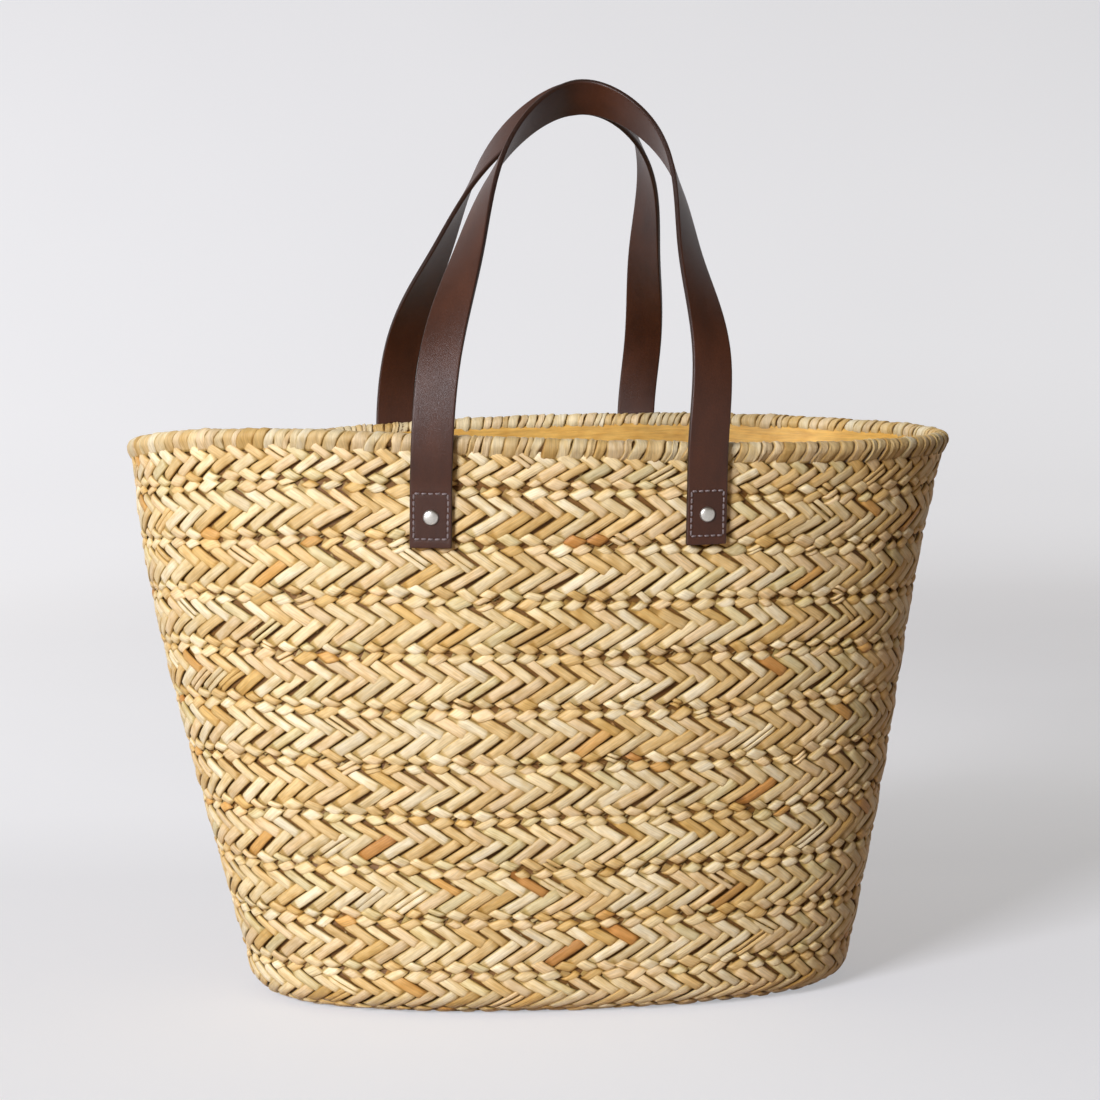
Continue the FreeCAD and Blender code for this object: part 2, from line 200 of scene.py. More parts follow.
class Patches:
    """Gathers rectangular patches of points into one mesh with tints, fibre places and UVs."""

    def __init__(self):
        self.points, self.quads, self.tints, self.fibres, self.cells = [], [], [], [], []
        self.count, self.patches = 0, 0

    def add(self, points, tint, fibre, flip=False):
        """points (k, m, n, 3); tint (k, m, n, 4); fibre (k, m, n, 3) along, across and a number."""
        points[..., 2] = np.maximum(points[..., 2], floor_gap)
        k, m, n, _ = points.shape
        index = np.arange(k * m * n).reshape(k, m, n) + self.count
        corners = [index[:, :-1, :-1], index[:, 1:, :-1], index[:, 1:, 1:], index[:, :-1, 1:]]
        quads = np.stack(corners[::-1] if flip else corners, -1).reshape(-1, 4)
        along, across = np.meshgrid(np.linspace(0, 1, m), np.linspace(0, 1, n), indexing="ij")
        cell = stacked(along[None], across[None], 0.0)
        cell = np.broadcast_to(cell, (k, m, n, 3)).copy()
        cell[..., 2] = (self.patches + np.arange(k))[:, None, None]
        self.points.append(points.reshape(-1, 3))
        self.quads.append(quads)
        self.tints.append(np.broadcast_to(tint, (k, m, n, 4)).reshape(-1, 4))
        self.fibres.append(np.broadcast_to(fibre, (k, m, n, 3)).reshape(-1, 3))
        self.cells.append(cell.reshape(-1, 3))
        self.count += k * m * n
        self.patches += k

    def make(self, name, material):
        points = np.concatenate(self.points) * MM
        quads = np.concatenate(self.quads)
        mesh = bpy.data.meshes.new(name)
        mesh.vertices.add(len(points))
        mesh.vertices.foreach_set("co", points.astype(np.float32).ravel())
        mesh.loops.add(quads.size)
        mesh.loops.foreach_set("vertex_index", quads.astype(np.int32).ravel())
        mesh.polygons.add(len(quads))
        mesh.polygons.foreach_set("loop_start", np.arange(0, quads.size, 4, dtype=np.int32))
        mesh.polygons.foreach_set("use_smooth", np.ones(len(quads), bool))
        mesh.update(calc_edges=True)
        tints, fibres = ("tint", "FLOAT_COLOR", "color"), ("fibre", "FLOAT_VECTOR", "vector")
        for (label, kind, key), rows in ((tints, self.tints), (fibres, self.fibres)):
            values = np.concatenate(rows).astype(np.float32).ravel()
            mesh.attributes.new(label, kind, "POINT").data.foreach_set(key, values)
        side = math.ceil(math.sqrt(self.patches))
        cells = np.concatenate(self.cells)
        corner = np.stack([cells[:, 2] % side, cells[:, 2] // side], -1)
        places = (corner + 0.05 + 0.9 * cells[:, :2]) / side
        uvs = places[quads.ravel()].astype(np.float32).ravel()
        mesh.uv_layers.new(name="OFBake").data.foreach_set("uv", uvs)
        mesh.validate()
        mesh.materials.append(material)
        return add_object(name, mesh)


# ------ materials
def linear(r, g, b):
    """A colour as linear light from 0 to 255 values."""
    values = [c / 255 for c in (r, g, b)]
    return [c / 12.92 if c <= 0.04045 else ((c + 0.055) / 1.055) ** 2.4 for c in values]


class Nodes:
    """Short way to write the nodes of a material or of the world."""

    def __init__(self, name, owner=None):
        self.owner = owner or bpy.data.materials.new(name)
        self.owner.use_nodes = True
        self.tree = self.owner.node_tree
        self.shader = self.tree.nodes.get("Principled BSDF") or self.tree.nodes["Background"]

    def node(self, kind, **settings):
        made = self.tree.nodes.new(kind)
        for key, value in settings.items():
            setattr(made, key, value)
        return made

    def link(self, output, target):
        self.tree.links.new(output, target)

    def put(self, value, socket):
        """Sets a socket to a number or a colour, or links it to an output."""
        if isinstance(value, (int, float)):
            socket.default_value = value
        elif isinstance(value, (list, tuple)):
            socket.default_value = (*value, 1)
        else:
            self.link(value, socket)

    def attribute(self, name, output):
        return self.node("ShaderNodeAttribute", attribute_name=name).outputs[output]

    def coordinates(self):
        return self.node("ShaderNodeTexCoord").outputs["Object"]

    def seen(self):
        """1 for what the camera sees, also in gloss or through glass, and 0 for scattered light."""
        rays = self.node("ShaderNodeLightPath")
        direct = self.math("MAXIMUM", rays.outputs["Is Camera Ray"], rays.outputs["Is Glossy Ray"])
        return self.math("MAXIMUM", direct, rays.outputs["Is Transmission Ray"])

    def math(self, operation, a, b=0.0, c=0.0):
        made = self.node("ShaderNodeMath", operation=operation)
        for socket, value in zip(made.inputs, (a, b, c)):
            self.put(value, socket)
        return made.outputs[0]

    def stretch(self, vector, scale, shift=(0, 0, 0)):
        made = self.node("ShaderNodeMapping")
        made.inputs["Scale"].default_value = scale
        made.inputs["Location"].default_value = shift
        self.link(vector, made.inputs["Vector"])
        return made.outputs[0]

    def noise(self, vector, scale, detail=3.0, roughness=0.55):
        made = self.node("ShaderNodeTexNoise")
        made.inputs["Scale"].default_value = scale
        made.inputs["Detail"].default_value = detail
        made.inputs["Roughness"].default_value = roughness
        self.link(vector, made.inputs["Vector"])
        return made.outputs["Fac"]

    def ramp(self, value, stops):
        made = self.node("ShaderNodeValToRGB")
        elements = made.color_ramp.elements
        while len(elements) < len(stops):
            elements.new(0.5)
        for element, (position, colour) in zip(elements, stops):
            element.position = position
            element.color = (*colour, 1)
        self.link(value, made.inputs[0])
        return made.outputs[0]

    def greys(self, value, stops):
        return self.ramp(value, [(position, (shade, shade, shade)) for position, shade in stops])

    def mix(self, a, b, factor=1.0, blend="MULTIPLY"):
        made = self.node("ShaderNodeMix", data_type="RGBA", blend_type=blend)
        for index, value in ((0, factor), (6, a), (7, b)):
            self.put(value, made.inputs[index])
        return made.outputs[2]

    def bump(self, height, distance, strength=1.0):
        made = self.node("ShaderNodeBump")
        made.inputs["Distance"].default_value = distance
        made.inputs["Strength"].default_value = strength
        self.link(height, made.inputs["Height"])
        return made.outputs[0]

    def surface(self, colour, roughness, normal=None, specular=0.5, metallic=0.0):
        self.link(colour, self.shader.inputs["Base Color"])
        self.put(roughness, self.shader.inputs["Roughness"])
        if normal:
            self.link(normal, self.shader.inputs["Normal"])
        self.shader.inputs["Specular IOR Level"].default_value = specular
        self.shader.inputs["Metallic"].default_value = metallic
        return self.owner


def straw_material(name, roughness=0.5):
    """Split straw: a tint for each strand, fibres along it, and painted shade in dark brown where strands
    tuck under and along their edges.
    """
    n = Nodes(name)
    fibre = n.attribute("fibre", "Vector")
    streaks = n.noise(n.stretch(fibre, (0.07, 1.5, 3.7)), 1.0, 4.0, 0.65)
    broad = n.noise(n.stretch(fibre, (0.09, 0.22, 1.9), (5, 2, 0)), 1.0, 2.0)
    fine = n.noise(n.stretch(fibre, (0.25, 5.0, 2.3), (1, 7, 0)), 1.0, 2.0, 0.7)
    tint = n.mix(n.attribute("tint", "Color"), n.greys(streaks, [(0.25, 0.72), (0.62, 1.1)]))
    tint = n.mix(tint, n.ramp(broad, [(0.3, (0.91, 0.82, 0.64)), (0.58, (1.08, 1.08, 1.08))]))
    stops = [(0.0, (0.06, 0.036, 0.012)), (0.75, (0.7, 0.6, 0.37)), (1.0, (1, 1, 1))]
    shade = n.ramp(n.attribute("tint", "Alpha"), stops)
    colour = n.mix(tint, shade)
    height = n.math("ADD", streaks, n.math("MULTIPLY", fine, 0.35))
    rough = n.math("MULTIPLY_ADD", streaks, 0.22, roughness - 0.1)
    return n.surface(colour, rough, n.bump(height, 0.0006, 0.7), specular=0.42)


def leather_material(name):
    """Smooth dark brown leather, darker and duller at its cut edges (alpha of the tint)."""
    n = Nodes(name)
    fibre = n.attribute("fibre", "Vector")
    pores = n.node("ShaderNodeTexVoronoi", feature="DISTANCE_TO_EDGE")
    pores.inputs["Scale"].default_value = 1.0
    n.link(n.stretch(fibre, (1.3, 1.5, 1.0)), pores.inputs["Vector"])
    cloud = n.noise(n.stretch(fibre, (0.03, 0.06, 1.0)), 1.0, 4.0)
    grain = n.noise(n.stretch(fibre, (0.8, 0.9, 1.0)), 1.0, 3.0)
    hide = n.ramp(cloud, [(0.3, linear(56, 27, 13)), (0.7, linear(72, 37, 20))])
    colour = n.mix(hide, n.greys(grain, [(0.3, 0.85), (0.7, 1.1)]))
    colour = n.mix(colour, n.greys(n.attribute("tint", "Alpha"), [(0.0, 0.35), (1.0, 1.0)]))
    cells = n.greys(pores.outputs["Distance"], [(0.0, 0.0), (0.18, 1.0)])
    height = n.math("ADD", n.math("MULTIPLY", cells, 0.5), grain)
    rough = n.math("MULTIPLY_ADD", grain, 0.16, 0.34)
    return n.surface(colour, rough, n.bump(height, 0.00012, 0.6), specular=0.42)


# A dark straw brown, painted shade: the colour of the sewing twine in the seams of the bottom.
def backing_material(name):
    n = Nodes(name)
    lines = n.noise(n.stretch(n.coordinates(), (60, 60, 500)), 1.0, 3.0)
    colour = n.ramp(lines, [(0.3, linear(48, 27, 11)), (0.7, linear(92, 60, 28))])
    return n.surface(colour, 0.9, n.bump(lines, 0.0004), specular=0.03)


def suede_material(name):
    n = Nodes(name)
    nap = n.noise(n.coordinates(), 900.0, 4.0, 0.7)
    colour = n.ramp(nap, [(0.3, linear(50, 30, 22)), (0.7, linear(84, 55, 42))])
    return n.surface(colour, 0.85, n.bump(nap, 0.0003), specular=0.25)


def thread_material(name):
    n = Nodes(name)
    twist = n.node("ShaderNodeTexWave", wave_type="BANDS", bands_direction="DIAGONAL")
    twist.inputs["Scale"].default_value = 0.9
    twist.inputs["Distortion"].default_value = 1.0
    n.link(n.attribute("fibre", "Vector"), twist.inputs["Vector"])
    colour = n.ramp(twist.outputs["Fac"], [(0.0, linear(126, 110, 112)), (1.0, linear(196, 184, 184))])
    return n.surface(colour, 0.7, n.bump(twist.outputs["Fac"], 0.0002), specular=0.3)


def nickel_material(name):
    n = Nodes(name)
    marks = n.noise(n.stretch(n.coordinates(), (900, 900, 2600)), 1.0, 4.0, 0.7)
    colour = n.ramp(marks, [(0.3, linear(196, 190, 180)), (0.7, linear(226, 222, 214))])
    rough = n.math("MULTIPLY_ADD", marks, 0.2, 0.27)
    return n.surface(colour, rough, n.bump(marks, 0.00003, 0.4), metallic=1.0)


straw = straw_material("straw")
straw_rim = straw_material("straw_rim", 0.55)
leather = leather_material("leather")
backing = backing_material("straw_shadow")
suede = suede_material("suede")
thread = thread_material("thread")
nickel = nickel_material("nickel")

# ------ straw braid
strand_pitch = 12.8  # one chevron to the next, along a course
strand_slope = math.radians(33)
strand_width = 6.4
crossing_drop = 16.3  # from the top of a course down to where its strands cross
rim_crossing_drop = 20.3  # the same for the course whose top is under the rim
turn_slope, turn_length, turn_width = math.radians(27), 10.2, 6.7  # the short turns at a braid's edges
turn_level, turn_shear, turn_pillow = 0.5, 0.6, 0.3
seam_half = 2.7  # from a seam to the middle of the turns beside it
tuck = 1.7  # how deep a strand's end goes under its neighbour
# How strand ends sink: distance from the end, distance over which it climbs, depth.
hidden_end, turn_end = (3.4, 3.0, tuck), (0.0, 2.0, 1.3)
upper_start, lower_start = (5.0, 2.8, 1.3), (4.4, 2.8, 1.3)
start_taper, end_taper = (0.09, 9.0), (0.05, 5.0)  # share of the width lost, and over what length
long_grid, turn_grid = {1: (14, 8), -1: (8, 5)}, {1: (9, 8), -1: (6, 5)}  # points outside, inside
lower_tone, turn_highlight = 0.97, 1.02  # how light these are beside the upper strands; the turns' extra lightness is a painted highlight on their raised tops
sway_size, shuffle_size = 0.03, 0.5  # slow changes of slope and place along a course
# Spreads of chance: slopes in radians, widths and the turns' lengths as shares, others in mm.
bend_spread, tilt_spread, level_spread, width_spread = 0.3, 0.2, 0.2, 0.085
long_slope_spread, long_near_spread, long_far_spread, long_place_spread = 0.028, 0.35, 0.3, 0.3
turn_slope_spread, turn_length_spread, turn_width_spread = 0.09, 0.14, 0.12
turn_place_spread, turn_height_spread = 0.45, 0.35
width_limits, crown_limits = (0.74, 1.16), (0.75, 1.2)
split_share = 0.04  # of the strands, which are split in two along their length
upper_reach, lower_reach = 2.2, 9.6  # how far the strands run past the crossing
upper_margin, lower_margin = 1.5, 2.2  # from a course's edges to where its long strands start
under_roll = 1.5  # how far below the roll's middle the top course's strands end
course_bulge = 1.25  # how far a course's edges lie below its middle
# the band between the braid's faces is painted dark, as painted shade in the slits
backing_colour, backing_painted_shade = linear(170, 126, 70), 0.46
backing_levels, backing_rounds = (-2.7, -3.6), 193

palette = [(238, 224, 190), (233, 213, 169), (230, 205, 162), (223, 193, 137), (213, 178, 113)]
palette += [(224, 209, 163), (214, 168, 100), (200, 146, 82)]
palette = np.array([linear(*colour) for colour in palette])
palette_share = [0.18, 0.3, 0.225, 0.165, 0.055, 0.06, 0.011, 0.004]
rim_share = [0.1, 0.26, 0.29, 0.27, 0.08, 0, 0, 0]
tint_spread = 0.055


def strand_tints(count, lift=1.0, shares=palette_share):
    base = palette[rng.choice(len(palette), count, p=shares)]
    return base * rng.normal(lift, tint_spread, (count, 1)).clip(0.8, 1.2)


def painted(shape, colour, tone_and_painted_shade):
    """Tint of a patch: its colour, and in the alpha how dark it is made: painted shade on the straw, and the
    darker cut edges and stitched box on the leather.
    """
    tint = np.empty((*shape, 4))
    tint[..., :3] = colour
    tint[..., 3] = tone_and_painted_shade
    return tint


# Across a strand: place from -1 to 1, how far it turns down, and how light it is left; the dark edges are
# painted shade in the slits between strands.
strand_section = {
    8: (
        [-1, -0.95, -0.78, -0.3, 0.3, 0.78, 0.95, 1],
        [1.5, 0.6, 0.2, 0, 0, 0.2, 0.6, 1.5],
        [0.08, 0.6, 0.93, 1, 1, 0.93, 0.6, 0.08],
    ),
    5: ([-1, -0.88, 0, 0.88, 1], [1.3, 0.3, 0, 0.3, 1.3], [0.1, 0.9, 1, 0.9, 0.1]),
}


def strands(
    patches, table, u, v, slope, length, width, level, rise, fall, top, tints, face, steps, shear, pillow
):
    """Flat strands lying on the skin.

    u, v, slope, length, width, level: one value for each strand; u and v are its middle. rise and
    fall: (distance from the end, distance over which it climbs, depth) at its start and end. face
    is 1 outside and -1 inside. shear slants both ends, and pillow is how far it sinks to its corners.
    """
    count = len(u)
    m, n = steps
    across, edge, tone_and_painted_shade = (np.array(row) for row in strand_section[n])
    ends = np.linspace(0, 1, m)
    along = (ends[None, :] - 0.5) * length[:, None]
    start = along + length[:, None] / 2
    left = length[:, None] - start
    lift = -rise[2] * (1 - smooth((start - rise[0]) / rise[1]))
    lift = lift - fall[2] * (1 - smooth((left - fall[0]) / fall[1]))
    taper = 1 - end_taper[0] * (1 - smooth(left / end_taper[1]))
    taper = taper - start_taper[0] * (1 - smooth(start / start_taper[1]))
    bend = rng.normal(0, bend_spread, (count, 1)) * (1 - (2 * ends[None, :] - 1) ** 2)
    b = across[None, None, :] * (width[:, None] / 2 * taper)[:, :, None] + bend[:, :, None]
    a = along[:, :, None] + shear * b
    cos, sin = np.cos(slope)[:, None, None], np.sin(slope)[:, None, None]
    shift_u = (a * cos - b * sin) / table[2]
    shift_v = a * sin + b * cos
    crown = rng.uniform(*crown_limits, (count, 1, 1))
    tilt = rng.normal(0, tilt_spread, (count, 1, 1))
    off = level[:, None, None] + lift[:, :, None] - edge[None, None, :] * crown + tilt * across
    off = off - pillow * (across**2)[None, None, :] - pillow * ((2 * ends - 1) ** 2)[None, :, None]
    place_v = v[:, None, None] + shift_v
    off = off + bulge(place_v)
    place_u = u[:, None, None] + shift_u
    if face < 0:
        off = -braid_thickness - off
    points = place(table, place_u, np.minimum(place_v, top), off)
    # painted shade: the strand darkens at its edges and where its end dips under a neighbour
    alpha = tone_and_painted_shade[None, None, :] * (1 - 0.5 * smooth(-lift / tuck))[:, :, None]
    number = rng.uniform(0, 90, (count, 1, 1))
    fibre = stacked(a + number * 7, b, number)
    patches.add(points, painted(b.shape, tints[:, None, None, :], alpha), fibre, flip=face < 0)


def bulge(v):
    """Each course stands out in its middle and dips to its seams."""
    s = np.mod((v - heel_height) / course_pitch, 1)
    return -course_bulge * np.abs(2 * s - 1) ** 2.5


def slow(count, size):
    """A value that changes smoothly along a course."""
    t = np.arange(count) / count * 2 * math.pi
    total = np.zeros(count)
    for wave in range(1, 9):
        total += np.sin(wave * t + rng.uniform(0, 6.3)) / math.sqrt(wave)
    return size * total / 2


def braid_course(patches, top, bottom, cut_top=no_cut, face=1):
    """The four rows of strands of one course of the seven-strand braid."""
    scale = (top - bottom) / course_pitch
    under_rim = cut_top < top
    cross = top - (rim_crossing_drop if under_rim else crossing_drop) * scale
    table = round_table(max(cross, round_limit))
    chevrons = max(8, round(table[2] / (strand_pitch * max(scale, 0.75))))
    step = table[2] / chevrons
    first = rng.uniform(0, 1)
    sway_a, sway_b = slow(chevrons, sway_size), slow(chevrons, sway_size)
    start = np.arange(chevrons) * step + slow(chevrons, shuffle_size)
    flatter = min(1, scale**0.7)  # the strands of a narrow course lie flatter

    def chance(spread, middle=0):
        return rng.normal(middle, spread, chevrons)

    def lay(run, v, slope, length, wide, rise, fall, level, tone, grid, shear=0.0, pillow=0.0):
        """One row: run is each strand's distance round, and v its height, at its middle."""
        width = wide * chance(width_spread, 1).clip(*width_limits) * step / strand_pitch
        split = rng.random(chevrons) < split_share
        width = np.where(split, 0.5 * width, width)
        aside = np.where(split, 0.54 * width, 0)
        high = level + chance(level_spread)
        tints = strand_tints(chevrons, tone)
        for some, sign in ((np.full(chevrons, True), 1), (split, -1)):
            if not some.any():
                continue
            u = first + (run - sign * aside * np.sin(slope)) / table[2]
            height = v + sign * aside * np.cos(slope)
            rows = (u, height, slope, length, width, high)
            u, height, angle, long, broad, lift = (row[some] for row in rows)
            lift = lift - 0.12 * (sign < 0)
            args = (angle, long, broad, lift, rise, fall, cut_top, tints[some])
            strands(patches, table, u, height, *args, face, grid, shear, pillow)

    def long_row(slope_sign, near, far, rise, tone, sway):
        """near and far: distances along the strand from the crossing, before and after it."""
        slope = strand_slope + sway + chance(long_slope_spread)
        slope = slope_sign * slope * flatter
        reach = near + chance(long_near_spread)
        stop = far + chance(long_far_spread)
        middle = (stop + reach) / 2
        jitter = chance(long_place_spread)
        run = start + (middle + jitter) * np.cos(slope)
        v = cross + middle * np.sin(slope)
        lay(run, v, slope, stop - reach, strand_width, rise, hidden_end, 0.0, tone, long_grid[face])

    def turn_row(slope_sign, height):
        """The short turns of the strands at an edge of the braid."""
        slope = slope_sign * (turn_slope + chance(turn_slope_spread)) * flatter
        length = turn_length * step / strand_pitch * chance(turn_length_spread, 1)
        run = start + abs(height - cross) / math.tan(strand_slope) + chance(turn_place_spread)
        v = height + chance(turn_height_spread)
        wide = turn_width * min(1, scale) * chance(turn_width_spread, 1)
        shear = -turn_shear * slope_sign
        args = (turn_end, turn_end, turn_level, turn_highlight, turn_grid[face], shear, turn_pillow)
        lay(run, v, slope, length, wide, *args)

    upper = (min(top - upper_margin * scale, cut_top) - cross) / math.sin(strand_slope)
    lower = (cross - (bottom + lower_margin * scale)) / math.sin(strand_slope)
    long_row(-1, -upper, upper_reach, upper_start, 1.0, sway_a)
    long_row(1, -lower, lower_reach, lower_start, lower_tone, sway_b)
    turn_row(-1, bottom + seam_half * scale)
    if not under_rim:
        turn_row(1, top - seam_half * scale)


def closed_band(patches, sheets, colour, tone_and_painted_shade, fibre):
    """Closed band from an outer and an inner sheet."""
    outer, inner = sheets
    loop = np.concatenate([outer, inner[:, ::-1], outer[:, :1]], 1)
    patches.add(loop[None], painted(loop.shape[:2], colour, tone_and_painted_shade)[None], fibre[None])


def backing_band(patches, top, bottom, levels=7):
    """Closed band in the middle of the braid, seen through its slits, painted dark: painted shade in the
    slits.
    """
    table = round_table(max((top + bottom) / 2, round_limit))
    u = np.linspace(0, 1, backing_rounds)[:, None] + np.zeros((1, levels))
    heights = np.linspace(bottom, top, levels)[None, :] + np.zeros((backing_rounds, 1))
    dip = 0.5 * bulge(heights)
    sheets = [place(table, u, heights, np.full(u.shape, off) + dip) for off in backing_levels]
    across = np.arange(2 * levels + 1)[None] * 3.0
    closed_band(patches, sheets, backing_colour, backing_painted_shade, stacked(u[:, :1] * 1000, across, 5.0))


def braid_piece(name, top, bottom, node, cut_top=no_cut):
    """One course: its strands outside and inside, and the band between them."""
    patches = Patches()
    braid_course(patches, top, bottom, cut_top)
    braid_course(patches, top, bottom, cut_top, face=-1)
    backing_band(patches, min(top, cut_top), bottom)
    obj = patches.make(name, straw)
    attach(obj, "basket")
    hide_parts(node)


for index in range(1, course_count + 1):
    low = heel_height + (index - 1) * course_pitch
    cut = rim_height - under_roll if index == course_count else no_cut
    braid_piece(f"straw_course_{index:02d}", low + course_pitch, low, f"course_{index:02d}", cut)
bottom_levels = [heel_height, -3.7, -34.0, -64.0, -85.0]
for name, node, high, low in zip(
    ("straw_heel", "straw_base_1", "straw_base_2", "straw_base_centre"),
    ("heel_course", "base_ring_1", "base_ring_2", "base_braid_center"),
    bottom_levels,
    bottom_levels[1:],
):
    braid_piece(name, high, low, node)


# ------ rim
wrap_count, wrap_spread, wrap_limits = 196, 0.3, (0.5, 1.7)
wrap_slant, wrap_overlap, wrap_tone = 2.1, 1.03, 0.82
wrap_leaves = -0.55  # how far round the roll, in radians, the wrapping leaves it for the wall
# the roll under the wrapping is painted dark: painted shade seen between the strips
core_colour, core_painted_shade = linear(150, 110, 60), 0.35
# the band inside the rim is a darker golden straw: partly the straw's own colour and partly painted shade
# under the roll
band_colour, band_painted_shade = linear(210, 165, 82), 0.97
ring_steps = 257


def roll_point(angle, around, radius):
    """Point on the rim's roll: around is 0 outwards and a quarter turn at the top.

    Below the roll's outer side, from wrap_leaves down, the wrapping runs on down the wall and into it.
    """
    below = np.maximum(wrap_leaves - around, 0)
    turned = np.maximum(around, wrap_leaves)
    out = radius * np.cos(turned) - 1.7 * below - 0.9 * below**2
    up = radius * np.sin(turned) - 4.6 * below
    half_width = rim_width / 2 - roll_radius + out
    half_depth = rim_depth / 2 - roll_radius + out
    x, y = oval(angle, half_width, half_depth)
    z = rim_height + rim_wave(angle) + up
    return np.stack([x + centre_x(np.array(rim_height)), y, z], -1)


def rim_piece():
    """Straw strips wrapped at a slant round the rim's roll, and the roll they go round."""
    patches = Patches()
    shares, angles, length = round_table(rim_height)
    count = wrap_count
    share = rng.normal(1, wrap_spread, count).clip(*wrap_limits)
    width = share * length / share.sum()
    centre = np.cumsum(width) - width / 2
    across = np.array([-1, -0.94, -0.76, -0.5, -0.2, 0.2, 0.5, 0.76, 0.94, 1])
    edge = np.array([1.3, 0.45, 0.14, 0.02, 0, 0, 0.02, 0.14, 0.45, 1.3])
    around = np.concatenate([[-1.6, -1.25, -0.9], np.linspace(wrap_leaves, math.pi + 1.05, 15)])
    slant = wrap_slant + slow(count, 0.9) + rng.normal(0, 0.35, count)
    radius = roll_radius - 0.1 + rng.normal(0, 0.16, count).clip(-0.4, 0.4)
    lump = rng.normal(0, 0.2, (count, len(around)))
    lump = (lump + np.roll(lump, 1, 1) + np.roll(lump, -1, 1)) / 2.2
    creases = rng.normal(0, 0.13, (count, 1, len(across))) * (np.abs(across) < 0.9)
    creases = creases * rng.choice([0.4, 1.0, 1.8], (count, 1, 1))
    run = centre[:, None, None] + (wrap_overlap * width[:, None] / 2 * across[None, :])[:, None, :]
    turn = (around - math.pi / 2) / math.pi
    run = run + slant[:, None, None] * turn[None, :, None] * 2
    run = run + rng.normal(0, 0.4, (count, 1, 1)) * np.sin(around * 2)[None, :, None]
    angle = np.interp(np.mod(run / length, 1), shares, angles)
    shingle = -0.28 * across
    reach = radius[:, None, None] + lump[:, :, None] - edge + creases + shingle
    shrink = 0.55 * np.exp(-(((np.abs(length_x(angle)) - strap_spacing / 2) / 14) ** 4))
    points = roll_point(angle, around[None, :, None], reach - shrink)
    colour = strand_tints(count, wrap_tone, rim_share)[:, None, None, :]
    # painted shade: each strip is darker at its edges, and darker still where it runs under into the wall
    # below the roll
    tone_and_painted_shade = np.array([0.06, 0.6, 0.97, 1, 1, 1, 1, 0.97, 0.6, 0.06])
    tone_and_painted_shade = tone_and_painted_shade - 0.6 * (1 - smooth((around + 1.7) / 0.5))[None, :, None]
    number = rng.uniform(0, 90, (count, 1, 1))
    fibre = stacked(around[None, :, None] * 5 + number * 7, run - centre[:, None, None], number)
    patches.add(points, painted(points.shape[:3], colour, tone_and_painted_shade), fibre, flip=True)
    ring = np.linspace(-math.pi, math.pi, ring_steps)[:, None] + np.zeros((1, 13))
    section = np.linspace(0, 2 * math.pi, 13)[None, :] + np.zeros((ring_steps, 1))
    core = roll_point(ring, section, core_radius + 0.4)
    fibre = np.stack([ring * 200, section, section * 0], -1)
    patches.add(core[None], painted(core.shape[:2], core_colour, core_painted_shade)[None], fibre[None])
    obj = patches.make("straw_rim_wrap", straw_rim)
    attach(obj, "basket")
    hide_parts("rim_wrap", "rim_core")


def length_x(angle):
    """How far to the right a place on the rim is."""
    return oval(angle, rim_width / 2, rim_depth / 2)[0]


def rim_band_piece():
    """Smooth strip of split straw inside the rim."""
    patches = Patches()
    table = round_table(band_round)
    u = np.linspace(0, 1, ring_steps)[:, None] + np.zeros((1, 9))
    heights = np.linspace(band_low, band_high, 9)[None, :] + np.zeros((ring_steps, 1))
    sheets = [place(table, u, heights, np.full(u.shape, off)) for off in (band_outer, band_inner)]
    run = np.concatenate([heights, heights[:, ::-1] + 40, heights[:, :1] + 60], 1)
    fibre = stacked(np.linspace(0, 1050, ring_steps)[:, None], run * 0.5, 11.0)
    closed_band(patches, sheets, band_colour, band_painted_shade, fibre)
    obj = patches.make("straw_rim_band", straw_rim)
    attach(obj, "basket")
    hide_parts("inner_rim_band")


rim_piece()
rim_band_piece()


# ------ straps
def unit(vector):
    vector = np.asarray(vector, float)
    return vector / np.linalg.norm(vector, axis=-1, keepdims=True)


def wall_point(side, x, z, inset=0.0):
    half_width, half_depth = wall_size(z)
    share = abs((x - float(centre_x(z))) / (half_width - inset)) ** oval_power
    return np.array([x, side * (half_depth - inset) * (1 - share) ** (1 / oval_power), z])


class Seat:
    """Where one strap end lies on the wall, as in the CAD."""

    def __init__(self, side, end):
        self.side, self.x = side, end * strap_spacing / 2
        low, high = wall_point(side, self.x, strap_end_low), wall_point(side, self.x, hinge_height)
        self.up = unit(high - low)
        left, right = (wall_point(side, self.x + part * strap_width / 2, strap_end_low) for part in (-1, 1))
        self.out = unit(np.cross(self.up, right - left) * side)
        self.across = np.cross(self.up, self.out)
        self.origin = low
        self.face = self.stand_out(0.0, max) + seat_gap
        self.outer_face = self.face + strap_thickness
        self.inner_face = self.stand_out(braid_thickness, min) - seat_gap
        self.patch_face = self.inner_face - patch_thickness

    def stand_out(self, inset, pick):
        heights = (strap_end_low, (strap_end_low + hinge_height) / 2, hinge_height)
        found = []
        for z in heights:
            for offset in (-strap_width / 2, 0.0, strap_width / 2):
                point = wall_point(self.side, self.x + offset, z, inset)
                found.append(float((point - self.origin) @ self.out))
        return pick(found)

    def along(self, z, out=0.0):
        return (z - self.origin[2] - out * self.out[2]) / self.up[2]

    def point(self, z, out):
        return self.origin + self.up * self.along(z, out) + self.out * out

    def local(self, x, y, out):
        """Points x across the strap, y along it and out from the wall, where each is an array."""
        return self.origin + x[..., None] * self.across + y[..., None] * self.up + out[..., None] * self.out


